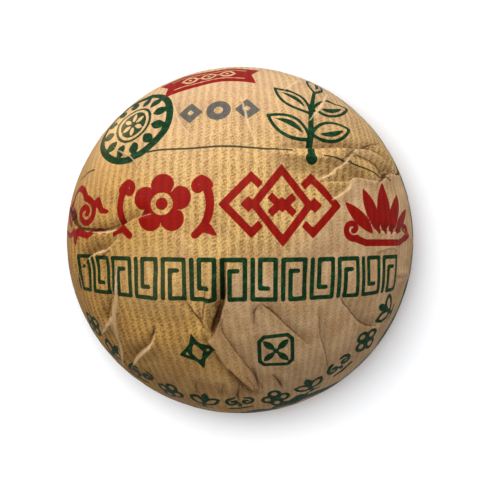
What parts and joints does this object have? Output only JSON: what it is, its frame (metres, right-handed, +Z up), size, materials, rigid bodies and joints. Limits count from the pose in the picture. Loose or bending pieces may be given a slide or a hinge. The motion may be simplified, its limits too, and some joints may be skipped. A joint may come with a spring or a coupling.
{
  "type": "paper-wrapped tuocha tea",
  "caption": "Bowl-shaped cake of pressed pu erh tea, wrapped in ribbed brown paper that is pleated into the hollow underneath.",
  "frame": {"origin": "middle of the underside, on the surface that the rim stands on", "axes": "+Z up through the top of the dome, +X to the right and +Y to the top of the printed face as it reads from above"},
  "size_m": [0.084, 0.0839, 0.0451],
  "materials": {
    "wrapper_paper": "ribbed kraft paper, satin"
  },
  "bodies": {
    "root": {"wrapped_tuocha": "wrapper_paper"}
  },
  "joints": []
}
